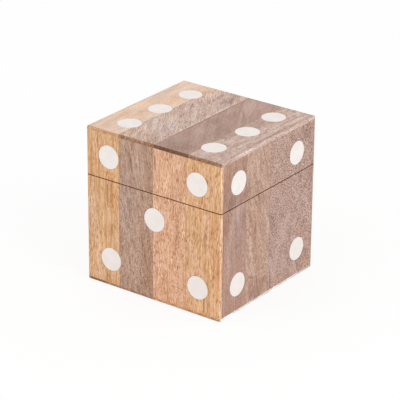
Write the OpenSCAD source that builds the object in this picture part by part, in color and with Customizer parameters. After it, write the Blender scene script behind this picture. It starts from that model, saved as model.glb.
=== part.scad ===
// A wooden dice box: a cube marked like a die, sawn in two near the top to make a hinged lid.
// Core boards make the box, hardwood staves face all six sides, and round pips are inlaid in them.
// Two brass butt hinges at the back carry the lid.
// X runs along the front to the right, Y from front to back, and Z up.
// The origin is the middle of the underside.

/* [Box] */
// Width of the box, left to right
box_w = 100; // [94:1:116]
// Depth of the box, front to back
box_d = 97; // [92:1:116]
// Height of the box with the lid shut
box_h = 101.5; // [98:0.5:116]
// Height of the lid, from the saw cut to the top
lid_h = 31.5; // [28:0.5:36]
// Rounding of the outer edges
edge_r = 1.2; // [0.6:0.1:1.8]

/* [Boards] */
// Thickness of the core boards
core_t = 6; // [5:0.5:8]
// Thickness of the staves
stave_t = 2; // [1.9:0.1:2.8]
// Height of the line that the saw leaves between the staves of the lid and the base
saw_line = 0.5; // [0.3:0.1:0.8]

/* [Pips] */
// Diameter of a pip
pip_d = 15; // [12:0.5:16]
// Glue line around a pip
pip_glue = 0.1; // [0.05:0.05:0.2]
// From the even place of an outer joint, out to the hole of a pip
pip_from_joint = 0.2; // [0.1:0.1:0.6]
// Upright faces: from the top of the box to the middle of the upper pips
pip_from_top = 17; // [15:0.5:19]
// Upright faces: from the underside to the middle of the lower pips
pip_from_foot = 18.4; // [15:0.2:22]
// Top and underside: from the front or back edge to the middle of a pip
pip_from_edge = 18.4; // [15:0.2:22]

/* [Hinges] */
// Length of a hinge
hinge_len = 22; // [18:1:26]
// From the side of the box to the middle of a hinge
hinge_from_side = 23; // [20:1:28]
// Thickness of a leaf
leaf_t = 1; // [0.8:0.1:1.2]
// Wood left between a leaf and the inside of the box
leaf_from_inside = 1.2; // [0.8:0.1:1.6]
// Depth of a leaf's face below the rim
leaf_sink = 0.1; // [0.05:0.05:0.2]
// Play around a leaf in its recess
leaf_play = 0.1; // [0.05:0.05:0.2]
// Diameter of the knuckles
knuckle_d = 3.6; // [3.2:0.1:4.4]
// Gap beside a knuckle, and between the knuckles and the back of the box
knuckle_gap = 0.2; // [0.1:0.05:0.3]
// Diameter of a hinge pin
pin_d = 1.6; // [1.2:0.1:1.8]
// Clearance of a pin in its knuckles, on the radius
pin_play = 0.05; // [0.03:0.01:0.08]
// Diameter of the peened ends of a pin
pin_head_d = 2.4; // [2:0.1:2.8]
// Thickness of the peened ends of a pin
pin_head_t = 0.4; // [0.3:0.1:0.6]

/* [Screws] */
// Length of a screw, head and all
screw_len = 7; // [6:0.5:9]
// Diameter of a screw's shank
screw_d = 1.6; // [1.4:0.1:1.8]
// Diameter of a screw's head
screw_head_d = 3.4; // [3:0.1:3.6]
// From the end of a hinge to the middle of a screw
screw_from_end = 4.5; // [3.5:0.5:6]
// Width of a screw's slot
slot_w = 0.5; // [0.3:0.1:0.6]
// Depth of a screw's slot
slot_depth = 0.4; // [0.3:0.1:0.5]
// Play between a screw and its hole, on the radius
screw_play = 0.05; // [0.03:0.01:0.1]
// Metal left under a screw's countersunk head
countersink_land = 0.1; // [0.05:0.05:0.2]
// Length of a screw's point
screw_point = 1.2; // [0.8:0.1:1.6]

/* [Hidden] */
$fn = 96;
STAVES = 4;
KNUCKLES = 5;
PARTS = ["lid", "base"];
UPRIGHT_FACES = ["front", "right", "back", "left"];
// How far a cutter runs past what it cuts
OVERCUT = 1;

// Each pip: its column and row on the face, then how far it was set off its place, across and up.
// The faces opposite one another add up to seven.
FRONT_PIPS = [
    [-1, 1, -0.3, 0.4], [1, 1, -0.3, -0.1], [0, 0, 1.3, 1.9], [-1, -1, 1, -0.4], [1, -1, 0.6, -0.2]
];
RIGHT_PIPS = [[-1, 1, -0.2, -0.1], [1, 1, -2.1, -1.1], [-1, -1, -0.1, 0.3], [1, -1, 0.2, 0.5]];
BACK_PIPS = [[-1, 1, 0.6, 0.2], [1, -1, -0.8, 0]];
LEFT_PIPS = [[-1, -1, 0.7, 0.2], [0, 0, -0.6, 0.5], [1, 1, -0.6, -0.4]];
TOP_PIPS = [
    [-1, -1, 1.4, -0.2], [-1, 0, 1.4, -0.2], [-1, 1, 1.7, 0.1],
    [1, -1, -1.5, -0.4], [1, 0, -0.3, 1.6], [1, 1, -1.4, 0.3]
];
BOTTOM_PIPS = [[0, 0, 0.4, -0.3]];

// How far the joints between the staves of a face lie off their even places
FRONT_JOINTS = [-0.2, 0.2, -0.6];
RIGHT_JOINTS = [-0.1, 1, 0.8];
TOP_JOINTS = [-0.5, 0.9, 0.8];
EVEN_JOINTS = [0, 0, 0];

// Tones of the wood, the inlay and the brass
GOLDEN = [0.84, 0.67, 0.51];
PEACH = [0.85, 0.67, 0.54];
PALE = [0.89, 0.78, 0.70];
GREY_BROWN = [0.71, 0.58, 0.50];
ROSY = [0.79, 0.69, 0.64];
MAUVE = [0.71, 0.59, 0.54];
DARK_MAUVE = [0.70, 0.56, 0.51];
CORE_WOOD = [0.80, 0.66, 0.50];
INLAY = [0.93, 0.90, 0.88];
BRASS = [0.80, 0.65, 0.35];

// Sizes that follow from the ones above
back_y = box_d / 2;
split_z = box_h - lid_h;
wall_t = stave_t + core_t;
core_w = box_w - 2 * stave_t;
core_d = box_d - 2 * stave_t;
inner_w = core_w - 2 * core_t;
inner_d = core_d - 2 * core_t;
pip_hole_d = pip_d + 2 * pip_glue;
hinge_x = box_w / 2 - hinge_from_side;
knuckle_len = (hinge_len - (KNUCKLES - 1) * knuckle_gap) / KNUCKLES;
// The pins lie level with the rims, just behind the back of the box
pin_back = knuckle_d / 2 + knuckle_gap;
leaf_w = wall_t - leaf_from_inside;
screw_x = hinge_len / 2 - screw_from_end;
// The screws stand in the core board, midway along what the leaf covers of it
screw_in = stave_t + (leaf_w - stave_t) / 2;
screw_head_h = leaf_t - countersink_land;

function stave_name(part, face, i) = str(part, "_", face, "_stave_", i);
function hinge_name(side, piece) = str(side, "_hinge_", piece);

// Faces

// Turn and place of a face's own frame: X to its right and Y up it, seen from outside, and Z out of it.
// On the top Y runs to the back, and on the underside to the front.
function face_turn(face) =
    face == "front" ? [90, 0, 0] :
    face == "right" ? [90, 0, 90] :
    face == "back" ? [90, 0, 180] :
    face == "left" ? [90, 0, 270] :
    face == "top" ? [0, 0, 0] : [180, 0, 0];
function face_place(face) =
    face == "front" ? [0, -box_d / 2, 0] :
    face == "right" ? [box_w / 2, 0, 0] :
    face == "back" ? [0, box_d / 2, 0] :
    face == "left" ? [-box_w / 2, 0, 0] :
    face == "top" ? [0, 0, box_h] : [0, 0, 0];
function is_flat(face) = face == "top" || face == "bottom";
function is_side(face) = face == "left" || face == "right";

module on_face(face) {
    translate(face_place(face)) rotate(face_turn(face)) children();
}

// Height of the saw's side of a part, and of its outer end, for the staves of the upright faces
function stave_z(part) = part == "lid"
    ? [split_z + saw_line / 2, box_h - stave_t]
    : [stave_t, split_z - saw_line / 2];
// The same for the core boards, which meet when the lid is shut
function core_z(part) = part == "lid" ? [split_z, box_h - stave_t] : [stave_t, split_z];
function height(range) = range[1] - range[0];

// Pips

function pips_on(face) =
    face == "front" ? FRONT_PIPS :
    face == "right" ? RIGHT_PIPS :
    face == "back" ? BACK_PIPS :
    face == "left" ? LEFT_PIPS :
    face == "top" ? TOP_PIPS : BOTTOM_PIPS;
// The outer columns stand just outside the outer joints
function pip_column(face, column) =
    column * (cladding_w(face) * (1 / 2 - 1 / STAVES) + pip_from_joint + pip_hole_d / 2);
// Rows of an upright face hang from the top and stand on the foot, with the middle row half way
function upright_row(row) = let (upper = box_h - pip_from_top)
    (upper + pip_from_foot) / 2 + row * (upper - pip_from_foot) / 2;
function pip_row(face, row) = is_flat(face) ? row * (box_d / 2 - pip_from_edge) : upright_row(row);
function pip_place(face, pip) = [pip_column(face, pip[0]) + pip[2], pip_row(face, pip[1]) + pip[3]];
function pip_part(face, pip) =
    face == "top" || (face != "bottom" && pip_place(face, pip)[1] > split_z) ? "lid" : "base";

// Holes for those pips of a face that reach a stave between two joints and two ends
module pip_holes(face, across, along) {
    reach = pip_hole_d / 2;
    for (pip = pips_on(face)) {
        place = pip_place(face, pip);
        beside = place[0] > across[0] - reach && place[0] < across[1] + reach;
        within = place[1] > along[0] - reach && place[1] < along[1] + reach;
        if (beside && within)
            on_face(face) translate([place[0], place[1], -stave_t - OVERCUT])
                cylinder(d = pip_hole_d, h = stave_t + 2 * OVERCUT);
    }
}

// The discs of one part, seated on its core boards and flush with its staves
module part_pips(part) {
    color(INLAY)
    for (face = concat(UPRIGHT_FACES, ["top", "bottom"]), pip = pips_on(face)) {
        place = pip_place(face, pip);
        if (pip_part(face, pip) == part)
            on_face(face) translate([place[0], place[1], -stave_t]) cylinder(d = pip_d, h = stave_t);
    }
}

// Staves

function joint_slips(face) =
    face == "front" ? FRONT_JOINTS :
    face == "right" ? RIGHT_JOINTS :
    face == "top" ? TOP_JOINTS : EVEN_JOINTS;
// The staves of the left and right faces stand between those of the front and back
function cladding_w(face) = is_side(face) ? core_d : box_w;
function joint_at(face, n) = n * cladding_w(face) / STAVES - cladding_w(face) / 2
    + (n > 0 && n < STAVES ? joint_slips(face)[n - 1] : 0);
function stave_span(face, i) = [joint_at(face, i - 1), joint_at(face, i)];

function stave_tone(face, i) = let (tones =
    face == "front" ? [GOLDEN, GREY_BROWN, PEACH, GOLDEN] :
    face == "right" ? [DARK_MAUVE, ROSY, MAUVE, MAUVE] :
    face == "back" ? [MAUVE, PEACH, GREY_BROWN, GOLDEN] :
    face == "left" ? [GREY_BROWN, GOLDEN, MAUVE, PEACH] :
    face == "top" ? [PALE, ROSY, DARK_MAUVE, ROSY] : [GREY_BROWN, PEACH, GOLDEN, ROSY]
) tones[i - 1];

// What rounding takes off a square corner at the origin, whose wood is towards +X and +Y
module edge_waste() {
    difference() {
        square(2 * edge_r, center = true);
        translate([edge_r, edge_r]) circle(edge_r);
    }
}

// A stave of an upright face; the outer ones of the front and back are rounded down the corner of the box
module upright_stave(part, face, i) {
    across = stave_span(face, i);
    along = stave_z(part);
    color(stave_tone(face, i))
    difference() {
        on_face(face) translate([0, along[0], 0]) rotate([-90, 0, 0]) linear_extrude(height(along))
            difference() {
                translate([across[0], 0]) square([height(across), stave_t]);
                if (!is_side(face) && i == 1) translate([across[0], 0]) edge_waste();
                if (!is_side(face) && i == STAVES) translate([across[1], 0]) mirror([1, 0]) edge_waste();
            }
        pip_holes(face, across, along);
        if (face == "back") hinge_recesses(part);
    }
}

// The whole cladding of the top, in its face's frame, with its outer edges and corners rounded
module flat_cladding() {
    flat = [box_w - 2 * edge_r, box_d - 2 * edge_r];
    translate([0, 0, -stave_t]) {
        linear_extrude(stave_t) square(flat, center = true);
        linear_extrude(stave_t - edge_r)
            difference() {
                square([box_w, box_d], center = true);
                for (a = [0, 1], b = [0, 1])
                    mirror([a, 0]) mirror([0, b]) translate([-box_w / 2, -box_d / 2]) edge_waste();
            }
    }
    translate([0, 0, -edge_r])
        for (s = [-1, 1]) {
            translate([s * flat[0] / 2, 0, 0]) rotate([90, 0, 0])
                cylinder(r = edge_r, h = flat[1], center = true);
            translate([0, s * flat[1] / 2, 0]) rotate([0, 90, 0])
                cylinder(r = edge_r, h = flat[0], center = true);
            for (t = [-1, 1])
                translate([s * flat[0] / 2, t * flat[1] / 2, 0]) sphere(edge_r);
        }
}

// A stave of the top or the underside, running from front to back over the upright ones
module flat_stave(face, i) {
    across = stave_span(face, i);
    along = [-box_d / 2, box_d / 2];
    color(stave_tone(face, i))
    difference() {
        on_face(face) intersection() {
            flat_cladding();
            translate([across[0], along[0] - OVERCUT, -stave_t])
                cube([height(across), height(along) + 2 * OVERCUT, stave_t + OVERCUT]);
        }
        pip_holes(face, across, along);
    }
}

// Core boards

// A wall of the core; the front and back boards run the whole width, and the side boards stand between them
module core_wall(part, face) {
    along = core_z(part);
    wide = is_side(face) ? inner_d : core_w;
    color(CORE_WOOD)
    difference() {
        on_face(face) translate([-wide / 2, along[0], -wall_t]) cube([wide, height(along), core_t]);
        if (face == "back") {
            hinge_recesses(part);
            screw_holes(part);
        }
    }
}

// The board inside the walls, under the staves of the top or over those of the underside
module core_panel(face) {
    color(CORE_WOOD)
    on_face(face) translate([-inner_w / 2, -inner_d / 2, -wall_t]) cube([inner_w, inner_d, core_t]);
}

// Hinges

// The base's leaf has the first, middle and last knuckle, and the lid's leaf those between
function has_knuckle(part, n) = (n % 2 == 0) == (part == "base");
function knuckle_at(n) = -hinge_len / 2 + n * (knuckle_len + knuckle_gap);

// Children at the middle of the pin of one hinge, or of both, with the part's own wood towards +Z
module at_hinge(side, part) {
    translate([(side == "left" ? -1 : 1) * hinge_x, back_y + pin_back, split_z])
        mirror([0, 0, part == "lid" ? 0 : 1]) children();
}
module at_hinges(part) {
    for (side = ["left", "right"]) at_hinge(side, part) children();
}
module at_screws() {
    for (s = [-1, 1]) translate([s * screw_x, -pin_back - screw_in, leaf_sink]) children();
}

// The shallow recesses that a part's leaves lie in
module hinge_recesses(part) {
    at_hinges(part)
        translate([-hinge_len / 2 - leaf_play, -pin_back - leaf_w - leaf_play, -OVERCUT])
            cube([hinge_len + 2 * leaf_play, leaf_w + leaf_play + OVERCUT, OVERCUT + leaf_sink + leaf_t]);
}

module screw_holes(part) {
    at_hinges(part) at_screws() cylinder(d = screw_d + 2 * screw_play, h = screw_len + screw_play);
}

// One leaf: a plate with its knuckles, the pin's bore and two countersunk holes
module hinge_leaf(side, part) {
    color(BRASS)
    at_hinge(side, part)
    difference() {
        union() {
            translate([-hinge_len / 2, -pin_back - leaf_w, leaf_sink])
                cube([hinge_len, leaf_w + pin_back, leaf_t]);
            for (n = [0:KNUCKLES - 1])
                if (has_knuckle(part, n)) translate([knuckle_at(n), 0, 0]) rotate([0, 90, 0])
                    cylinder(d = knuckle_d, h = knuckle_len);
        }
        rotate([0, 90, 0]) cylinder(d = pin_d + 2 * pin_play, h = hinge_len + 2 * OVERCUT, center = true);
        for (n = [0:KNUCKLES - 1])
            if (!has_knuckle(part, n))
                translate([knuckle_at(n) - knuckle_gap, -pin_back, 0])
                    cube([knuckle_len + 2 * knuckle_gap, 2 * pin_back, leaf_sink + leaf_t + OVERCUT]);
        at_screws() {
            translate([0, 0, -OVERCUT]) cylinder(d = screw_d + 2 * screw_play, h = leaf_t + 2 * OVERCUT);
            translate([0, 0, -OVERCUT]) cylinder(d = screw_head_d + 2 * screw_play, h = OVERCUT);
            cylinder(d1 = screw_head_d + 2 * screw_play, d2 = screw_d + 2 * screw_play, h = screw_head_h);
        }
    }
}

module hinge_pin(side) {
    color(BRASS)
    at_hinge(side, "lid") rotate([0, 90, 0]) {
        cylinder(d = pin_d, h = hinge_len, center = true);
        for (s = [-1, 1])
            translate([0, 0, s * (hinge_len + pin_head_t) / 2])
                cylinder(d = pin_head_d, h = pin_head_t, center = true);
    }
}

module hinge_screws(part) {
    color(BRASS)
    at_hinges(part) at_screws()
        difference() {
            union() {
                cylinder(d1 = screw_head_d, d2 = screw_d, h = screw_head_h);
                cylinder(d = screw_d, h = screw_len - screw_point);
                translate([0, 0, screw_len - screw_point])
                    cylinder(d1 = screw_d, d2 = 0, h = screw_point);
            }
            translate([-screw_head_d, -slot_w / 2, -OVERCUT])
                cube([2 * screw_head_d, slot_w, slot_depth + OVERCUT]);
        }
}

for (i = [1:STAVES]) {
    flat_stave("top", i);
    flat_stave("bottom", i);
}
for (part = PARTS, face = UPRIGHT_FACES) {
    for (i = [1:STAVES])
        upright_stave(part, face, i);
    core_wall(part, face);
}
core_panel("top");  // lid_core_top
core_panel("bottom");  // base_core_bottom
for (part = PARTS) {
    part_pips(part);
    hinge_screws(part);
    for (side = ["left", "right"])
        hinge_leaf(side, part);
}
for (side = ["left", "right"])
    hinge_pin(side);
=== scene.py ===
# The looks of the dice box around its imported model: wood, inlay, brass, floor, light and camera.
import math
from dataclasses import dataclass, field

import bpy
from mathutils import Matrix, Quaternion, Vector


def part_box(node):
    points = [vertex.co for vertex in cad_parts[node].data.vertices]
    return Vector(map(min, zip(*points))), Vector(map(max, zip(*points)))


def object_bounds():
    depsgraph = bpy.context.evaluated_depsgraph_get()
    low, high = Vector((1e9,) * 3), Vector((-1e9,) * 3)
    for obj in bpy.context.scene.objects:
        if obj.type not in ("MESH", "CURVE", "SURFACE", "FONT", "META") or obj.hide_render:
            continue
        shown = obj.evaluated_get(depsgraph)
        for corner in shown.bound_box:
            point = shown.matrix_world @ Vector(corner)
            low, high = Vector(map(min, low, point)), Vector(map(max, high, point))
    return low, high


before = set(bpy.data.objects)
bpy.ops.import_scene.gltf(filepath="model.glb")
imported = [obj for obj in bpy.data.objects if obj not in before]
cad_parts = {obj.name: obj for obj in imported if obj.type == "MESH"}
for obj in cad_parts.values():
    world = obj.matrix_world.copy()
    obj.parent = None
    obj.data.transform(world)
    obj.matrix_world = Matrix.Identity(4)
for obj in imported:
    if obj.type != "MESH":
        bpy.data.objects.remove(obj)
cad_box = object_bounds()

MM = 0.001
PARTS = ("lid", "base")
HINGE_SIDES = ("left", "right")
# Each kind of board, and the axes across its grain, along it and into the wood
GRAIN_AXES = {
    "front": "xzy", "back": "xzy", "right": "yzx", "left": "yzx", "top": "xyz", "bottom": "xyz",
    "core_front": "zxy", "core_back": "zxy", "core_right": "zyx", "core_left": "zyx",
    "core_top": "yxz", "core_bottom": "yxz",
}
FLAT_FACES = ("top", "bottom")


# Woods. Tones are sRGB, 0 to 255, and places and sizes are millimetres.

# How a wood's figure moves its red, green and blue: darker lines are redder too, most of all in golden wood
PLAIN_TINT = (1.0, 1.3, 1.55)
AMBER_TINT = (1.0, 1.6, 2.2)
GOLDEN_TINT = (1.0, 1.6, 2.8)


@dataclass
class Mark:
    """A patch or streak on a face, across and along the grain from the part's origin."""
    kind: str
    at: tuple
    size: tuple
    lean: float = 0.0
    strength: float = 0.5
    bend: float = 0.0


@dataclass
class Wood:
    """How one board looks: its tone on the face, its ends and its sides, and the strength of its figure.

    The paler side of its drift takes the shade named by pale, and reach is how long its lines run.
    """
    tone: tuple
    end: tuple = (150, 76, 32)
    side: tuple = None
    tint: tuple = PLAIN_TINT
    pale: str = "light"
    drift: float = 0.5
    bands: float = 0.06
    grain: float = 0.12
    mottle: float = 0.12
    pores: float = 0.5
    streaks: float = 0.3
    lean: float = 0.0
    reach: float = 1.0
    marks: list = field(default_factory=list)


@dataclass
class Layer:
    """A noise of the wood: its cells across and along the grain, and what sets it apart from the others."""
    across: float
    along: float
    seed_step: float
    detail: float
    roughness: float = 0.5


FRONT = [
    Wood((220, 177, 137), tint=GOLDEN_TINT, pale="rosy", bands=0.05, grain=0.14, mottle=0.06, pores=0.5,
         streaks=0.45, reach=1.2, marks=[
        Mark("warm", (-32.5, 74.4), (5, 2), strength=0.8),
        Mark("warm", (-27.8, 55), (1.4, 16), 4, 0.8),
        Mark("dark", (-34.2, 60), (0.9, 10), -2, 0.9, 0.8),
        Mark("warm", (-30.4, 60), (2.2, 12), strength=0.9),
        Mark("dark", (-31, 62), (1.5, 9), strength=0.65),
        Mark("dark", (-31.8, 40), (0.8, 6), -18, 0.5),
        Mark("dark", (-42.6, 52), (0.8, 9), -10, 0.4, 1.2),
        Mark("dark", (-47.6, 40), (0.9, 14), strength=0.5),
        Mark("rosy", (-44.6, 42), (2.4, 32), -3, 0.9),
        Mark("dark", (-35, 6), (0.9, 3.8), 4, 0.9),
        Mark("light", (-42, 24), (2.4, 12), 6, 0.5),
        Mark("light", (-36.5, 28), (2.2, 6), strength=0.7),
        Mark("light", (-37.5, 46), (1.6, 9), strength=0.4),
        Mark("dark", (-41.5, 93), (0.6, 5), strength=0.6),
        Mark("rosy", (-26, 50), (0.6, 52), strength=0.8),
    ]),
    Wood((182, 150, 130), bands=0.06, grain=0.17, mottle=0.28, pores=0.6, streaks=0.2, lean=-8, marks=[
        Mark("lined", (-12.5, 88), (14, 20), strength=1.0),
        Mark("light", (-17, 60), (7, 15), strength=0.7),
        Mark("light", (-19, 75), (5, 6), -16, 0.9),
        Mark("light", (-22.6, 85), (1.8, 7), -6, 0.5),
        Mark("light", (-13, 87), (4, 11), -8, 0.9),
        Mark("light", (-16.8, 73), (2.4, 4), strength=0.9),
        Mark("light", (-11.8, 85), (2, 5), -8, 0.6),
        Mark("light", (-7.2, 82), (2.4, 7), -8, 0.6),
        Mark("light", (-18, 22), (6, 14), strength=0.4),
        Mark("cool", (-19, 64), (6, 26), strength=0.5),
        Mark("dark", (-17, 88), (1.2, 8), -20, 0.5, 0.6),
        Mark("dark", (-6, 32), (5, 18), strength=0.35),
        Mark("dark", (-5, 9), (5, 7), strength=0.5),
        Mark("dark", (-1.6, 70), (1.6, 8), strength=0.4),
        Mark("warm", (-3.4, 82), (4, 22), strength=0.35),
        Mark("warm", (-3, 24), (5, 28), strength=0.4),
    ]),
    Wood((221, 175, 143), tint=AMBER_TINT, bands=0.05, grain=0.14, mottle=0.15, pores=0.6, streaks=0.35,
         drift=0.3, marks=[
        Mark("lined", (12, 88), (14, 20), strength=0.9),
        Mark("light", (12, 86), (9, 13), strength=0.45),
        Mark("rosy", (9, 57), (3, 5), strength=0.7),
        Mark("light", (6, 75), (5, 6), strength=0.9),
        Mark("dark", (16, 75), (3, 5), strength=0.25),
        Mark("dark", (18.6, 50), (1.6, 13), 3, 0.5, 0.5),
        Mark("light", (21.4, 58), (2, 8), strength=0.7),
        Mark("light", (13.6, 34), (3, 7), strength=0.5),
        Mark("warm", (14, 3), (12, 2), strength=0.5),
        Mark("light", (1.1, 40), (0.6, 36), strength=0.8),
        Mark("dark", (1.6, 91), (0.8, 7), strength=0.95),
        Mark("dark", (18, 86), (1.2, 5), strength=0.4),
    ]),
    Wood((222, 177, 137), side=(229, 189, 156), tint=GOLDEN_TINT, pale="rosy", bands=0.02, grain=0.15,
         mottle=0.06, pores=0.6, streaks=0.25, drift=0.35, reach=1.1, marks=[
        Mark("dark", (26.5, 39), (1.2, 7), strength=0.4),
        Mark("rosy", (35, 29), (3, 3), strength=0.9),
        Mark("rosy", (26.6, 16), (1.4, 9), strength=0.8),
        Mark("light", (42.6, 32), (0.9, 12), strength=0.8, bend=0.8),
        Mark("dark", (45.4, 33), (0.8, 12), strength=0.7, bend=0.8),
        Mark("warm", (48, 32), (2.6, 20), strength=0.9),
        Mark("dark", (48.6, 31), (1, 12), strength=0.5),
        Mark("dark", (38.6, 51), (1.1, 8), strength=0.8),
        Mark("warm", (44.6, 60), (3, 9), strength=0.6),
        Mark("dark", (44.6, 57), (1.6, 5), strength=0.3),
        Mark("light", (34.6, 64), (1.6, 6), strength=0.4),
        Mark("light", (35.6, 5), (2.4, 6), strength=0.9),
        Mark("dark", (38.6, 9), (0.8, 8), strength=0.7, bend=1.5),
        Mark("dark", (41, 10), (0.7, 9), strength=0.6, bend=-1.5),
        Mark("rosy", (44, 86), (3, 7), strength=0.8),
        Mark("light", (47, 90), (2.4, 8), strength=0.7),
        Mark("dark", (49.4, 76), (0.8, 10), strength=0.4),
        Mark("light", (45.6, 12), (1.8, 12), strength=0.4),
    ]),
]
RIGHT = [
    Wood((178, 144, 130), bands=0.06, grain=0.06, mottle=0.16, pores=0.4, streaks=0.2, drift=0.8, marks=[
        Mark("dark", (-46, 50), (0.9, 50), strength=0.5),
        Mark("dark", (-25, 92), (2.6, 10), strength=0.5),
        Mark("dark", (-34, 73.5), (12, 5), strength=0.5),
        Mark("dark", (-38.4, 73.5), (2.6, 5), strength=0.5),
        Mark("dark", (-25.6, 74), (1.6, 5), strength=0.4),
        Mark("dark", (-44, 82), (4, 8), strength=0.3),
        Mark("dark", (-40, 84), (8, 12), strength=0.2),
        Mark("warm", (-43, 88), (4, 10), strength=0.4),
        Mark("cool", (-31, 60), (4.5, 13), strength=0.9),
        Mark("light", (-31.6, 66), (3, 8), strength=0.7),
        Mark("warm", (-43, 62), (3.4, 10), strength=0.7),
        Mark("dark", (-42.6, 62), (3.4, 9), strength=0.4),
        Mark("dark", (-38.4, 66), (1.3, 8), strength=0.4),
        Mark("dark", (-25.4, 60), (2.2, 10), strength=0.5),
        Mark("golden", (-44, 28), (3, 18), strength=0.5),
        Mark("dark", (-38.4, 42), (1.8, 7), strength=0.3),
        Mark("dark", (-23.8, 78), (1, 10), strength=0.5),
        Mark("dark", (-31, 43), (5, 7), strength=0.15),
        Mark("warm", (-34, 6), (9, 5), strength=0.5),
    ]),
    Wood((190, 157, 140), bands=0.1, grain=0.08, mottle=0.23, pores=0.5, streaks=0.25, lean=-14, marks=[
        Mark("light", (-17.5, 92), (4, 6), strength=0.3),
        Mark("dark", (-20.6, 79), (3, 9), strength=0.5),
        Mark("dark", (-13, 76), (10, 8), strength=0.3),
        Mark("warm", (-7, 34), (4, 8), strength=0.4),
        Mark("light", (-16, 22), (4, 4), strength=0.6),
        Mark("dark", (-12.5, 64), (0.9, 7), -32, 0.8),
        Mark("light", (-9, 79), (1.4, 8), -34, 0.6),
        Mark("dark", (-19.5, 58), (1, 6), -28, 0.5),
        Mark("light", (-18.6, 30), (2.4, 14), strength=0.9),
        Mark("dark", (-16.5, 17.5), (4.5, 1.2), 24, 0.7),
        Mark("dark", (-10, 21.5), (2, 4), -30, 0.5),
        Mark("dark", (-11, 8), (11, 8), strength=0.65),
        Mark("warm", (-10, 56), (6, 6), strength=0.4),
        Mark("dark", (-13.6, 48), (1.3, 3.6), strength=0.8),
        Mark("light", (-7.6, 54), (1.4, 5), strength=0.9),
        Mark("light", (-5, 31), (3, 5), strength=0.4),
        Mark("dark", (-7.5, 66), (6, 4.5), strength=0.45),
    ]),
    Wood((182, 151, 138), bands=0.04, grain=0.05, mottle=0.48, pores=0.8, streaks=0.1, lean=-30,
         reach=0.7, marks=[
        Mark("dark", (6, 48), (5, 14), 12, 0.3),
        Mark("light", (20, 43), (1.8, 14), 38, 1.0, 0.6),
        Mark("light", (19, 41), (1, 11), 38, 0.8, 0.6),
        Mark("light", (14.6, 31), (3, 6), 30, 1.0),
        Mark("light", (9.5, 22), (2.4, 14), 14, 1.0),
        Mark("light", (9.5, 20), (1.2, 12), 14, 0.6),
        Mark("light", (17, 14), (4, 7), 14, 0.7),
        Mark("light", (10, 9), (9, 6), strength=0.4),
        Mark("golden", (9, 5), (7, 4), strength=0.6),
        Mark("light", (13, 63), (7, 4), 20, 0.5),
        Mark("light", (10, 84), (1.8, 11), 46, 0.8),
        Mark("light", (3, 74), (3, 3), strength=0.7),
        Mark("dark", (3, 9), (0.8, 8), strength=0.8),
        Mark("light", (0.9, 12), (0.7, 12), strength=0.9),
        Mark("light", (0.9, 84), (0.7, 14), strength=0.8),
        Mark("dark", (14, 48), (4, 5), 40, 0.35),
    ]),
    Wood((181, 151, 138), bands=0.04, grain=0.05, mottle=0.42, pores=0.7, streaks=0.1, lean=-30,
         reach=0.7, marks=[
        Mark("light", (38.5, 54), (1.8, 16), 36, 1.0),
        Mark("light", (31.4, 44), (3.4, 8), 20, 1.0),
        Mark("light", (43.5, 30), (2.6, 10), 20, 0.8),
        Mark("light", (40, 78), (5, 4), strength=0.6),
        Mark("dark", (43, 62), (3, 8), strength=0.4),
        Mark("dark", (38, 94), (8, 5), strength=0.4),
        Mark("golden", (41, 6), (7, 6), strength=0.7),
        Mark("golden", (28, 5.6), (5, 5), strength=1.0),
        Mark("light", (28, 5.6), (5, 5), strength=0.8),
        Mark("dark", (32.4, 7), (0.8, 4), strength=0.8),
        Mark("dark", (45.6, 66), (1, 8), strength=0.4),
    ]),
]
BACK = [
    Wood((184, 156, 143), side=(184, 155, 141), mottle=0.32, pores=0.6, lean=-20, marks=[
        Mark("light", (42, 52), (1.8, 15), -26, 0.9, 0.5),
        Mark("light", (36, 20), (2, 10), -10, 0.7),
        Mark("dark", (44, 84), (6, 6), strength=0.4),
    ]),
    Wood((221, 175, 143), tint=AMBER_TINT, bands=0.05, grain=0.14, mottle=0.15, pores=0.8, streaks=0.4,
         marks=[
        Mark("dark", (12, 38), (1.2, 12), 4, 0.5, 0.6),
        Mark("warm", (6, 66), (4, 9), strength=0.6),
    ]),
    Wood((182, 150, 130), bands=0.08, mottle=0.28, pores=0.6, lean=8, marks=[
        Mark("light", (-14, 40), (4, 14), strength=0.5),
        Mark("dark", (-6, 80), (3, 9), strength=0.4),
    ]),
    Wood((222, 178, 137), tint=GOLDEN_TINT, bands=0.05, grain=0.13, mottle=0.07, pores=0.5, streaks=0.4,
         reach=1.2, marks=[
        Mark("dark", (-38, 45), (0.9, 14), -4, 0.7, 0.7),
        Mark("light", (-44, 60), (2, 14), strength=0.6),
        Mark("warm", (-33, 20), (3, 9), strength=0.7),
    ]),
]
LEFT = [
    Wood((180, 148, 131), mottle=0.32, pores=0.6, lean=-6, marks=[
        Mark("light", (36, 56), (3, 13), 8, 0.6),
        Mark("dark", (30, 22), (4, 9), strength=0.35),
        Mark("dark", (41, 88), (3, 8), strength=0.35),
    ]),
    Wood((222, 178, 137), tint=GOLDEN_TINT, bands=0.05, grain=0.14, mottle=0.07, pores=0.5, streaks=0.4,
         reach=1.2, marks=[
        Mark("dark", (8, 60), (0.9, 14), 3, 0.7, -0.8),
        Mark("warm", (14, 30), (3, 9), strength=0.8),
        Mark("light", (18, 74), (1.6, 12), strength=0.6),
    ]),
    Wood((182, 151, 138), mottle=0.34, pores=0.7, lean=40, marks=[
        Mark("light", (-12, 48), (1.3, 16), -34, 0.8, -0.6),
        Mark("light", (-6, 22), (1.5, 12), -16, 0.7),
    ]),
    Wood((221, 175, 143), tint=AMBER_TINT, bands=0.05, grain=0.14, mottle=0.15, pores=0.7, streaks=0.4,
         marks=[
        Mark("dark", (-36, 52), (1.1, 12), -3, 0.6, 0.6),
        Mark("warm", (-30, 24), (4, 10), strength=0.6),
        Mark("light", (-42, 36), (2, 9), strength=0.6),
        Mark("rosy", (-38, 84), (4, 8), strength=0.7),
    ]),
]
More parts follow.
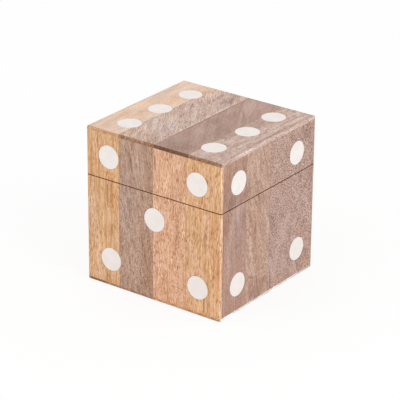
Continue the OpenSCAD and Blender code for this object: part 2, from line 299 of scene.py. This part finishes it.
TOP = [
    Wood((228, 199, 177), end=(198, 152, 116), bands=0.05, grain=0.05, mottle=0.06, pores=0.2, streaks=0.2,
         drift=0.7, marks=[
        Mark("cool", (-45, 12), (4, 12), strength=0.6),
        Mark("light", (-40, 42), (12, 8), strength=0.5),
        Mark("warm", (-27.5, 36), (2.6, 8), strength=0.7),
        Mark("warm", (-38, 26), (3, 6), strength=0.4),
        Mark("golden", (-43, -3), (6, 7), strength=0.7),
        Mark("golden", (-29, 12), (4, 5), strength=0.5),
        Mark("warm", (-36, -14), (3, 8), strength=0.3),
        Mark("warm", (-43, -20), (5, 9), strength=0.3),
        Mark("rosy", (-45, 30), (4, 7), strength=0.5),
        Mark("dark", (-40, -42), (13, 9), strength=0.16),
    ]),
    Wood((205, 179, 166), end=(162, 121, 93), bands=0.09, grain=0.18, mottle=0.06, pores=0.65, streaks=0.5,
         lean=-31, reach=1.5, marks=[
        Mark("golden", (-22, 36), (5.5, 18), 4, 1.0),
        Mark("light", (-22, 30), (2.6, 7), strength=0.5),
        Mark("golden", (-19, -38), (8, 9), strength=0.6),
        Mark("dark", (-14, 36), (2, 9), -8, 0.2),
        Mark("dark", (-22, 12), (3, 5), strength=0.3),
        Mark("light", (-12, -18), (2.4, 12), -30, 0.7),
        Mark("cool", (-7, -24), (4, 14), -28, 0.8),
        Mark("warm", (-16, 6), (5, 6), strength=0.2),
        Mark("cool", (-8, 34), (4, 10), -20, 0.6),
        Mark("dark", (-4, 34), (3, 14), -6, 0.4),
        Mark("dark", (-4, -42), (4, 7), strength=0.25),
        Mark("dark", (-18, 14), (0.8, 8), -30, 0.5),
        Mark("light", (0.3, 0), (0.5, 48), strength=0.8),
    ]),
    Wood((177, 146, 132), end=(118, 80, 56), bands=0.07, grain=0.04, mottle=0.1, pores=0.3, streaks=0.3,
         drift=0.4, lean=-30, marks=[
        Mark("light", (12, 32), (12, 17), -20, 0.7),
        Mark("light", (10, 39), (5, 13), -30, 0.9),
        Mark("light", (5, 21), (4, 6), strength=0.6),
        Mark("light", (14, 34), (3, 5), -30, 0.5),
        Mark("warm", (18, 30), (1.6, 10), -30, 0.4),
        Mark("dark", (15, 22), (0.7, 10), -38, 0.5),
        Mark("light", (15, 10), (2.4, 5), -30, 0.4),
        Mark("dark", (7, 3), (6, 6), -30, 0.3),
        Mark("light", (8, -12), (3.5, 9), -26, 0.8),
        Mark("dark", (20, -8), (6, 15), -20, 0.4),
        Mark("light", (2.4, -32), (1.4, 7), strength=0.5),
        Mark("light", (23, -30), (1.6, 8), strength=0.5),
        Mark("dark", (14, -41), (12, 9), strength=0.5),
        Mark("cool", (8, -39), (6, 8), strength=0.6),
        Mark("dark", (1.6, 0), (0.6, 48), strength=0.5),
    ]),
    Wood((199, 171, 158), end=(151, 113, 87), side=(205, 178, 165), bands=0.13, grain=0.13, mottle=0.14,
         pores=0.6, streaks=0.5, drift=0.35, marks=[
        Mark("light", (36.4, 43.4), (6.4, 7), strength=1.0),
        Mark("light", (45, 40), (5, 9), strength=0.9),
        Mark("light", (46, 15), (3, 7), strength=0.6),
        Mark("light", (34.6, -16), (2.4, 9), strength=1.0),
        Mark("light", (34.4, -17), (1.6, 7), strength=0.9),
        Mark("light", (29, -44), (3, 4), strength=0.5),
        Mark("dark", (45, -29), (3, 9), strength=0.2),
        Mark("light", (46, -5), (1.8, 6), strength=0.5),
        Mark("dark", (29.5, 19), (3, 9), strength=0.45),
        Mark("dark", (28, 43), (2.4, 5), strength=0.4),
        Mark("dark", (28, -11), (2.6, 8), strength=0.6),
        Mark("dark", (47.3, 6), (0.7, 40), strength=0.4),
        # A painted highlight: the pale line along the top's right edge, where the rounded edge catches the
        # light
        Mark("light", (49.2, 0), (0.8, 48), strength=0.9),
        Mark("dark", (48.8, -10), (1, 5), strength=0.5),
        Mark("light", (48.6, -48.4), (2.6, 2), strength=0.9),
    ]),
]
BOTTOM = [
    Wood((177, 146, 127), end=(174, 131, 99), mottle=0.3, lean=6, marks=[
        Mark("dark", (-44, -48.5), (9, 3), strength=0.9),
    ]),
    Wood((221, 175, 143), end=(178, 134, 108), tint=AMBER_TINT, grain=0.14, mottle=0.15, pores=0.8, marks=[
        Mark("warm", (-12, -20), (4, 12), strength=0.6),
        Mark("dark", (-17, 22), (1.1, 12), 4, 0.5, 0.6),
    ]),
    Wood((222, 178, 137), end=(206, 160, 124), tint=GOLDEN_TINT, bands=0.05, grain=0.14, mottle=0.07, marks=[
        Mark("dark", (12, 24), (1, 16), 3, 0.6, 0.6),
        Mark("light", (17, -24), (2, 12), strength=0.6),
    ]),
    # Its side, the strip along the lower right edge, is nearly white: a painted reflection of the white
    # floor on the rounded edge, dimmed towards the back by the dark mark
    Wood((200, 174, 160), end=(192, 149, 112), side=(240, 230, 223), bands=0.1, mottle=0.2, marks=[
        Mark("dark", (50, 38), (4, 16), strength=0.6),
    ]),
]
FACES = {"front": FRONT, "right": RIGHT, "back": BACK, "left": LEFT, "top": TOP, "bottom": BOTTOM}
CORE = Wood((210, 177, 138), end=(190, 150, 108), side=(200, 164, 122), tint=GOLDEN_TINT, bands=0.04,
            grain=0.08, mottle=0.04, pores=0.4, streaks=0.4)

# What a patch does to the colour of the wood, in linear red, green and blue
SHADES = {
    "light": (1.18, 1.22, 1.28),
    "rosy": (1.01, 1.07, 1.26),
    "golden": (1.16, 1.08, 0.96),
    "cool": (0.99, 1.02, 1.12),
    "warm": (0.97, 0.8, 0.62),
    "dark": (0.6, 0.5, 0.42),
    "lined": (1.0, 1.0, 1.0),
}
# The kinds of patch where the grain runs in plain lines, and the share of the dashes that is left there
SMOOTH_KINDS = ("light", "cool", "lined")
DASH_SHARE = 0.3
# A patch is gone at the first share of its size, and at its full strength within the second
MARK_FADE = (1.25, 0.35)
# How much a noise moves that edge in and out
RAGGED_SWING = 1.4

LAYERS = {
    "drift": Layer(9, 40, 0, 2),
    "ragged": Layer(1.6, 5, 5, 3),
    "grain": Layer(0.65, 8, 11, 3, 0.6),
    "mottle": Layer(0.65, 1.2, 17, 2, 0.6),
    "bands": Layer(3.2, 34, 19, 2),
    "pores": Layer(0.55, 2.8, 23, 1),
    "crowd": Layer(6, 14, 29, 1),
    "streaks": Layer(1.5, 45, 31, 3),
    "speckle": Layer(1.3, 1.3, 37, 4, 0.65),
}
# How far a seed moves a noise along x, y and z, and the steps from one board's seed to the next
SEED_PATH = (1, 2.3, -1.7)
FACE_SEED = 7.1
STAVE_SEED = 3.3
CORE_SEED = 41
CORE_SEED_STEP = 6.3

# Ramps: a noise from one value to another, and if two more follow, what it turns into there.
# Veins are dark in a paler ground and about 0 on the whole. Bands are mostly near either end.
VEINS = (0.26, 0.62, -1.4, 0.6)
BAND_RAMP = (0.3, 0.7, -1.0, 1.0)
WARM_DRIFT = (0.42, 0.75)
PALE_DRIFT = (0.55, 0.25)
PORE_RAMP = (0.66, 0.82)
STREAK_RAMP = (0.56, 0.74)
SPECKLE_RAMP = (0.38, 0.66)
# Where along the rounded edges the painted highlight is stronger or weaker
EDGE_HIGHLIGHT_PATCHES = (0.35, 0.6, 0.3, 0.9)
# The same for how squarely a surface faces its side, its end, or any axis at all
SIDE_TURN = (0.4, 0.8)
END_TURN = (0.15, 0.5)
EDGE_TURN = (0.98, 0.8)
# The share of the drift's strength that its warm side has, and how much crowding adds to the pores
WARM_SHARE = 0.6
CROWDING = 0.3

# How much paler and darker than its tone the speckled end of a board gets
END_SHARES = (1.22, 0.68)
# How far a pore, line or seam darkens the wood, and the painted highlight on rounded edges lightens it, as
# powers of e
LINE_DEPTH = 0.65
EDGE_HIGHLIGHT_LIFT = 0.12
# Width of the darker wood beside a joint or a board's end, how near it is darkest, and how strong it is
SEAM_WIDTH = 0.3
SEAM_HEART = 0.05
JOINT_STRENGTH = 0.5
END_STRENGTH = 0.45
SEAM_DECIMALS = 3

# Roughness from veins to ground, a bump's depth and strength, and the share of the grain in the relief
WOOD_ROUGHNESS = (0.62, 0.5)
WOOD_GLOSS = 0.25
WOOD_BUMP = (0.06 * MM, 0.3)
GRAIN_RELIEF = 0.4

# Light, shadow and speck
INLAY_TONES = ((240, 232, 229), (236, 228, 221), (214, 200, 190))
INLAY_CLOUD = {"cell": (5, 5, 5), "seed": 3, "detail": 3}
INLAY_FLECK = {"cell": (0.5, 0.5, 0.5), "seed": 9, "detail": 2}
INLAY_SHADOW_RAMP = (0.35, 0.65)
INLAY_SPECK_RAMP = (0.62, 0.8, 0, 0.35)
INLAY_ROUGHNESS_RAMP = (0.3, 0.7, 0.34, 0.42)
INLAY_GLOSS = 0.3
INLAY_BUMP = (0.02 * MM, 0.3)

# Bright and dull
BRASS_TONES = ((222, 190, 120), (176, 138, 78))
BRASS_DRAWN = {"cell": (12, 0.15, 0.15), "seed": 2, "detail": 3}
BRASS_TARNISH = {"cell": (3, 3, 3), "seed": 6, "detail": 3}
BRASS_DULL_RAMP = (0.4, 0.75, 0, 0.6)
BRASS_ROUGHNESS_RAMP = (0.3, 0.7, 0.26, 0.42)
BRASS_BUMP = (0.02 * MM, 0.4)


# Floor, light and camera, in metres and watts

FLOOR_SIZE = 6.0
# A hair above the underside, so that floor and box never share one plane
FLOOR_HEIGHT = 0.02 * MM
FLOOR_COLOUR = (1.0, 1.0, 1.0, 1.0)
FLOOR_ROUGHNESS = 0.9
# How much of the floor that the camera sees is plain white, beside what shows the box's soft shadow
PLAIN_SHARE = 0.85
SKY_STRENGTH = 0.83
LAMP_WIDTH = 0.9
# Each lamp's place and power
LAMPS = {"key": ((-0.6, -1.2, 1.1), 2.8), "fill": ((1.3, -0.3, 0.9), 5.6)}
BOX_MIDDLE = Vector((0, 0, 0.05))
CAMERA_TARGET = Vector((-0.0002, -0.0009, 0.0493))
CAMERA_DISTANCE = 1.2884
CAMERA_AZIMUTH = math.radians(36.31)
CAMERA_ELEVATION = math.radians(23.83)
CAMERA_ROLL = math.radians(0.49)
SENSOR_WIDTH = 36.0
LENS_LENGTH = 189.9


def linear(tone):
    """An sRGB tone, 0 to 255, as linear red, green, blue and alpha."""
    def channel(value):
        share = value / 255
        return share / 12.92 if share <= 0.04045 else ((share + 0.055) / 1.055) ** 2.4
    return tuple(channel(value) for value in tone) + (1.0,)


# Material nodes

class Graph:
    """The nodes of one material. Each method adds one node and returns its output."""

    def __init__(self, name):
        self.material = bpy.data.materials.new(name)
        self.material.use_nodes = True
        self.tree = self.material.node_tree
        self.shader = self.tree.nodes["Principled BSDF"]

    def feed(self, socket, value):
        if isinstance(value, bpy.types.NodeSocket):
            self.tree.links.new(value, socket)
        else:
            socket.default_value = value

    def add(self, kind, inputs, **settings):
        node = self.tree.nodes.new(kind)
        for key, value in settings.items():
            setattr(node, key, value)
        for key, value in inputs.items():
            self.feed(node.inputs[key], value)
        return node

    def math(self, operation, *values):
        return self.add("ShaderNodeMath", dict(enumerate(values)), operation=operation).outputs[0]

    def vector(self, operation, *values):
        return self.add("ShaderNodeVectorMath", dict(enumerate(values)), operation=operation).outputs[0]

    def split(self, vector):
        return self.add("ShaderNodeSeparateXYZ", {0: vector}).outputs

    def join(self, x, y, z):
        return self.add("ShaderNodeCombineXYZ", {0: x, 1: y, 2: z}).outputs[0]

    def ramp(self, value, low, high, bottom=0.0, top=1.0):
        """A smooth rise from bottom to top as the value goes from low to high."""
        inputs = {"Value": value, "From Min": low, "From Max": high, "To Min": bottom, "To Max": top}
        return self.add("ShaderNodeMapRange", inputs, interpolation_type="SMOOTHSTEP").outputs[0]

    def noise(self, vector, cell, seed, detail, roughness=0.5):
        """Noise from 0 to 1 whose cells are so many millimetres along x, y and z."""
        moved = [step * seed for step in SEED_PATH]
        scaled = self.vector("MULTIPLY_ADD", vector, [1 / width for width in cell], moved)
        inputs = {"Vector": scaled, "Scale": 1.0, "Detail": detail, "Roughness": roughness}
        return self.add("ShaderNodeTexNoise", inputs).outputs[0]

    def layer(self, vector, name, seed, reach=1.0):
        """One of the wood's layers, from 0 to 1, its cells made longer by reach."""
        layer = LAYERS[name]
        cell = (layer.across, layer.along * reach, layer.across)
        return self.noise(vector, cell, seed + layer.seed_step, layer.detail, layer.roughness)

    def mix(self, factor, a, b):
        node = self.add("ShaderNodeMix", {0: factor, 6: a, 7: b}, data_type="RGBA")
        return node.outputs[2]

    def shade(self, factor, shades, colour):
        """Shades drawn towards one colour, of linear red, green and blue."""
        return self.mix(factor, shades, (*colour, 1.0))

    def bump(self, height, depth, strength):
        inputs = {"Height": height, "Distance": depth, "Strength": strength}
        return self.add("ShaderNodeBump", inputs).outputs[0]

    def millimetres(self, coordinates):
        return self.vector("MULTIPLY", coordinates.outputs["Object"], [1 / MM] * 3)


def along_grain(graph, vector, board):
    """A vector's parts across the board's grain, along it and into the wood."""
    parts = dict(zip("xyz", graph.split(vector)))
    return [parts[axis] for axis in GRAIN_AXES[board]]


def mark_mask(graph, place, ragged, mark):
    """A mark's strength in its heart, and 0 from its ragged edge on."""
    inputs = {
        "Vector": place,
        "Location": (*mark.at, 0),
        "Rotation": (0, 0, -math.radians(mark.lean)),
        "Scale": (*mark.size, 1),
    }
    inside = graph.add("ShaderNodeMapping", inputs, vector_type="TEXTURE").outputs[0]
    if mark.bend:
        across, along, _ = graph.split(inside)
        bowed = graph.math("MULTIPLY_ADD", graph.math("MULTIPLY", along, along), mark.bend, across)
        inside = graph.join(bowed, along, 0.0)
    distance = graph.add("ShaderNodeVectorMath", {0: inside}, operation="LENGTH").outputs["Value"]
    return graph.ramp(graph.math("ADD", distance, ragged), *MARK_FADE, 0.0, mark.strength)


def seam_mask(graph, value, seams):
    """1 on each seam, and 0 from the seam's width away from it."""
    mask = 0.0
    for seam in seams:
        away = graph.math("ABSOLUTE", graph.math("SUBTRACT", value, seam))
        mask = graph.math("MAXIMUM", mask, graph.ramp(away, SEAM_WIDTH, SEAM_HEART))
    return mask


def base_colour(graph, wood, normal, board, speckle):
    """The wood's plain tone on its face, its sides and its ends, the last with speckled pores."""
    facing_side, facing_end, _ = along_grain(graph, normal, board)
    side = linear(wood.side or wood.tone)
    colour = graph.mix(graph.ramp(facing_side, *SIDE_TURN), linear(wood.tone), side)
    end = linear(wood.end)[:3]
    pale_end, dark_end = ([channel * share for channel in end] + [1.0] for share in END_SHARES)
    speckled = graph.mix(graph.ramp(speckle, *SPECKLE_RAMP), pale_end, dark_end)
    return graph.mix(graph.ramp(facing_end, *END_TURN), colour, speckled)


def patches(graph, wood, drift, flat, ragged):
    """The shades of the broad patches and the marks, and how far the marks calm the dashes."""
    warm = graph.ramp(drift, *WARM_DRIFT, 0, wood.drift * WARM_SHARE)
    shades = graph.shade(warm, (1, 1, 1, 1), SHADES["warm"])
    shades = graph.shade(graph.ramp(drift, *PALE_DRIFT, 0, wood.drift), shades, SHADES[wood.pale])
    calm = 0.0
    for mark in wood.marks:
        mask = mark_mask(graph, flat, ragged, mark)
        shades = graph.shade(mask, shades, SHADES[mark.kind])
        if mark.kind in SMOOTH_KINDS:
            calm = graph.math("MAXIMUM", calm, mask)
    return shades, calm


def dark_lines(graph, wood, leaning, seed, seams):
    """Pores, long dark streaks, and the darker wood at the joints and ends, from 0 to 1."""
    pores = graph.layer(leaning, "pores", seed, wood.reach)
    crowd = graph.layer(leaning, "crowd", seed)
    pores = graph.ramp(graph.math("MULTIPLY_ADD", crowd, CROWDING, pores), *PORE_RAMP, 0, wood.pores)
    streaks = graph.ramp(graph.layer(leaning, "streaks", seed), *STREAK_RAMP, 0, wood.streaks)
    lines = graph.math("MAXIMUM", pores, streaks)
    for value, places, strength in seams:
        if places:
            near = graph.math("MULTIPLY", seam_mask(graph, value, places), strength)
            lines = graph.math("MAXIMUM", lines, near)
    return lines


def painted_edge_highlight(graph, normal, drift):
    """A painted highlight on rounded edges: 1 or less where an edge is rounded, more in some places than in
    others, and 0 on flat faces.
    """
    x, y, z = graph.split(normal)
    squarely = graph.math("MAXIMUM", graph.math("MAXIMUM", x, y), z)
    return graph.math("MULTIPLY", graph.ramp(squarely, *EDGE_TURN), graph.ramp(drift, *EDGE_HIGHLIGHT_PATCHES))


def wood_material(name, wood, board, seed, joints=(), ends=()):
    graph = Graph(name)
    coordinates = graph.add("ShaderNodeTexCoord", {})
    across, along, deep = along_grain(graph, graph.millimetres(coordinates), board)
    straight = graph.join(across, along, deep)
    leaning = graph.add("ShaderNodeVectorRotate", {"Vector": straight, "Axis": (0, 0, 1),
                        "Angle": math.radians(wood.lean)}, rotation_type="AXIS_ANGLE").outputs[0]
    normal = graph.vector("ABSOLUTE", coordinates.outputs["Normal"])
    colour = base_colour(graph, wood, normal, board, graph.layer(straight, "speckle", seed))

    drift = graph.layer(leaning, "drift", seed)
    ragged = graph.layer(straight, "ragged", seed)
    ragged = graph.math("MULTIPLY_ADD", ragged, RAGGED_SWING, -RAGGED_SWING / 2)
    shades, calm = patches(graph, wood, drift, graph.join(across, along, 0.0), ragged)

    # Grain lines, short dashes and wide bands
    grain = graph.ramp(graph.layer(leaning, "grain", seed, wood.reach), *VEINS)
    mottle = graph.ramp(graph.layer(leaning, "mottle", seed, wood.reach), *VEINS)
    mottle = graph.math("MULTIPLY", mottle, graph.ramp(calm, 0, 1, 1, DASH_SHARE))
    bands = graph.ramp(graph.layer(leaning, "bands", seed), *BAND_RAMP)

    seams = ((across, joints, JOINT_STRENGTH), (along, ends, END_STRENGTH))
    lines = dark_lines(graph, wood, leaning, seed, seams)
    # A painted highlight along the rounded edges, which lightens them in patches
    edge_highlight = painted_edge_highlight(graph, normal, drift)
    figure = 0.0
    for layer, strength in ((grain, wood.grain), (mottle, wood.mottle), (bands, wood.bands),
                            (lines, -LINE_DEPTH), (edge_highlight, EDGE_HIGHLIGHT_LIFT)):
        figure = graph.math("MULTIPLY_ADD", layer, strength, figure)
    lightness = [graph.math("EXPONENT", graph.math("MULTIPLY", figure, share)) for share in wood.tint]
    colour = graph.vector("MULTIPLY", graph.vector("MULTIPLY", colour, shades), graph.join(*lightness))

    shader = graph.shader.inputs
    graph.feed(shader["Base Color"], colour)
    graph.feed(shader["Roughness"], graph.ramp(grain, *VEINS[2:], *WOOD_ROUGHNESS))
    shader["Specular IOR Level"].default_value = WOOD_GLOSS
    relief = graph.math("SUBTRACT", graph.math("MULTIPLY", grain, GRAIN_RELIEF), lines)
    graph.feed(shader["Normal"], graph.bump(relief, *WOOD_BUMP))
    return graph.material


# Staves, core boards, pips and hinges

def paint(node, material):
    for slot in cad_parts[node].material_slots:
        slot.material = material


def paint_staves():
    for face_number, (face, woods) in enumerate(FACES.items()):
        for number, wood in enumerate(woods, 1):
            stave = f"{face}_stave_{number}"
            nodes = [stave] if face in FLAT_FACES else [f"{part}_{stave}" for part in PARTS]
            corners = [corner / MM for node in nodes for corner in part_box(node)]
            across, along = ("xyz".index(axis) for axis in GRAIN_AXES[face][:2])
            widths = [corner[across] for corner in corners]
            outer_side = cad_box[1][across] / MM - SEAM_WIDTH
            joints = [side for side in (min(widths), max(widths)) if abs(side) < outer_side]
            ends = ()
            if face not in FLAT_FACES:
                ends = sorted({round(corner[along], SEAM_DECIMALS) for corner in corners})
            seed = FACE_SEED * face_number + STAVE_SEED * number
            material = wood_material(f"{stave}_wood", wood, face, seed, joints, ends)
            for node in nodes:
                paint(node, material)


def paint_core():
    for face in FACES:
        parts = {"top": ("lid",), "bottom": ("base",)}.get(face, PARTS)
        seed = CORE_SEED + CORE_SEED_STEP * len(face)
        material = wood_material(f"core_{face}_wood", CORE, f"core_{face}", seed)
        for part in parts:
            paint(f"{part}_core_{face}", material)


def inlay_material():
    graph = Graph("inlay")
    place = graph.millimetres(graph.add("ShaderNodeTexCoord", {}))
    cloud = graph.noise(place, **INLAY_CLOUD)
    fleck = graph.noise(place, **INLAY_FLECK)
    light, shadow, speck = (linear(tone) for tone in INLAY_TONES)
    colour = graph.mix(graph.ramp(cloud, *INLAY_SHADOW_RAMP), light, shadow)
    colour = graph.mix(graph.ramp(fleck, *INLAY_SPECK_RAMP), colour, speck)
    shader = graph.shader.inputs
    graph.feed(shader["Base Color"], colour)
    graph.feed(shader["Roughness"], graph.ramp(cloud, *INLAY_ROUGHNESS_RAMP))
    shader["Specular IOR Level"].default_value = INLAY_GLOSS
    graph.feed(shader["Normal"], graph.bump(fleck, *INLAY_BUMP))
    return graph.material


def brass_material():
    graph = Graph("brass")
    place = graph.millimetres(graph.add("ShaderNodeTexCoord", {}))
    drawn = graph.noise(place, **BRASS_DRAWN)
    tarnish = graph.noise(place, **BRASS_TARNISH)
    bright, dull = (linear(tone) for tone in BRASS_TONES)
    colour = graph.mix(graph.ramp(tarnish, *BRASS_DULL_RAMP), bright, dull)
    shader = graph.shader.inputs
    shader["Metallic"].default_value = 1.0
    graph.feed(shader["Base Color"], colour)
    graph.feed(shader["Roughness"], graph.ramp(drawn, *BRASS_ROUGHNESS_RAMP))
    graph.feed(shader["Normal"], graph.bump(drawn, *BRASS_BUMP))
    return graph.material


def paint_pips_and_hinges():
    inlay = inlay_material()
    brass = brass_material()
    for part in PARTS:
        paint(f"{part}_pips", inlay)
        paint(f"{part}_hinge_screws", brass)
        for side in HINGE_SIDES:
            paint(f"{side}_hinge_{part}_leaf", brass)
    for side in HINGE_SIDES:
        paint(f"{side}_hinge_pin", brass)


# Floor, light and camera

def plain_white(tree, shader, emitter, share):
    """Mixes plain white into a surface or the sky, for what the camera sees, also by way of metal."""
    rays = tree.nodes.new("ShaderNodeLightPath").outputs
    seen = rays["Is Camera Ray"]
    for ray in ("Is Glossy Ray", "Is Transmission Ray"):
        either = tree.nodes.new("ShaderNodeMath")
        either.operation = "MAXIMUM"
        tree.links.new(seen, either.inputs[0])
        tree.links.new(rays[ray], either.inputs[1])
        seen = either.outputs[0]
    shared = tree.nodes.new("ShaderNodeMath")
    shared.operation = "MULTIPLY"
    shared.inputs[1].default_value = share
    tree.links.new(seen, shared.inputs[0])
    white = tree.nodes.new(emitter)
    white.inputs["Color"].default_value = (1, 1, 1, 1)
    white.inputs["Strength"].default_value = 1.0
    mix = tree.nodes.new("ShaderNodeMixShader")
    tree.links.new(shared.outputs[0], mix.inputs[0])
    tree.links.new(shader, mix.inputs[1])
    tree.links.new(white.outputs[0], mix.inputs[2])
    return mix.outputs[0]


def add_floor():
    bpy.ops.mesh.primitive_plane_add(size=FLOOR_SIZE, location=(0, 0, FLOOR_HEIGHT))
    floor = bpy.context.object
    floor.name = "floor"
    graph = Graph("floor_white")
    graph.shader.inputs["Base Color"].default_value = FLOOR_COLOUR
    graph.shader.inputs["Roughness"].default_value = FLOOR_ROUGHNESS
    graph.shader.inputs["Specular IOR Level"].default_value = 0.0
    shader = plain_white(graph.tree, graph.shader.outputs[0], "ShaderNodeEmission", PLAIN_SHARE)
    graph.tree.links.new(shader, graph.tree.nodes["Material Output"].inputs["Surface"])
    floor.data.materials.append(graph.material)


def add_light():
    world = bpy.data.worlds.new("soft_white")
    bpy.context.scene.world = world
    world.use_nodes = True
    tree = world.node_tree
    sky = tree.nodes["Background"]
    sky.inputs["Color"].default_value = (1, 1, 1, 1)
    sky.inputs["Strength"].default_value = SKY_STRENGTH
    shader = plain_white(tree, sky.outputs[0], "ShaderNodeBackground", 1.0)
    tree.links.new(shader, tree.nodes["World Output"].inputs["Surface"])
    for name, (place, power) in LAMPS.items():
        lamp = bpy.data.lights.new(name, "AREA")
        lamp.size = LAMP_WIDTH
        lamp.energy = power
        holder = bpy.data.objects.new(name, lamp)
        holder.location = place
        holder.rotation_euler = (BOX_MIDDLE - Vector(place)).to_track_quat("-Z", "Y").to_euler()
        bpy.context.scene.collection.objects.link(holder)


def add_camera():
    lens = bpy.data.cameras.new("camera")
    lens.sensor_width = SENSOR_WIDTH
    lens.lens = LENS_LENGTH
    camera = bpy.data.objects.new("camera", lens)
    away = Vector((math.sin(CAMERA_AZIMUTH) * math.cos(CAMERA_ELEVATION),
                   -math.cos(CAMERA_AZIMUTH) * math.cos(CAMERA_ELEVATION),
                   math.sin(CAMERA_ELEVATION)))
    camera.location = CAMERA_TARGET + away * CAMERA_DISTANCE
    level = (-away).to_track_quat("-Z", "Y")
    camera.rotation_mode = "QUATERNION"
    camera.rotation_quaternion = level @ Quaternion((0, 0, 1), CAMERA_ROLL)
    bpy.context.scene.collection.objects.link(camera)
    bpy.context.scene.camera = camera


paint_staves()
paint_core()
paint_pips_and_hinges()
add_floor()
add_light()
add_camera()
bpy.context.scene.view_settings.view_transform = "Standard"
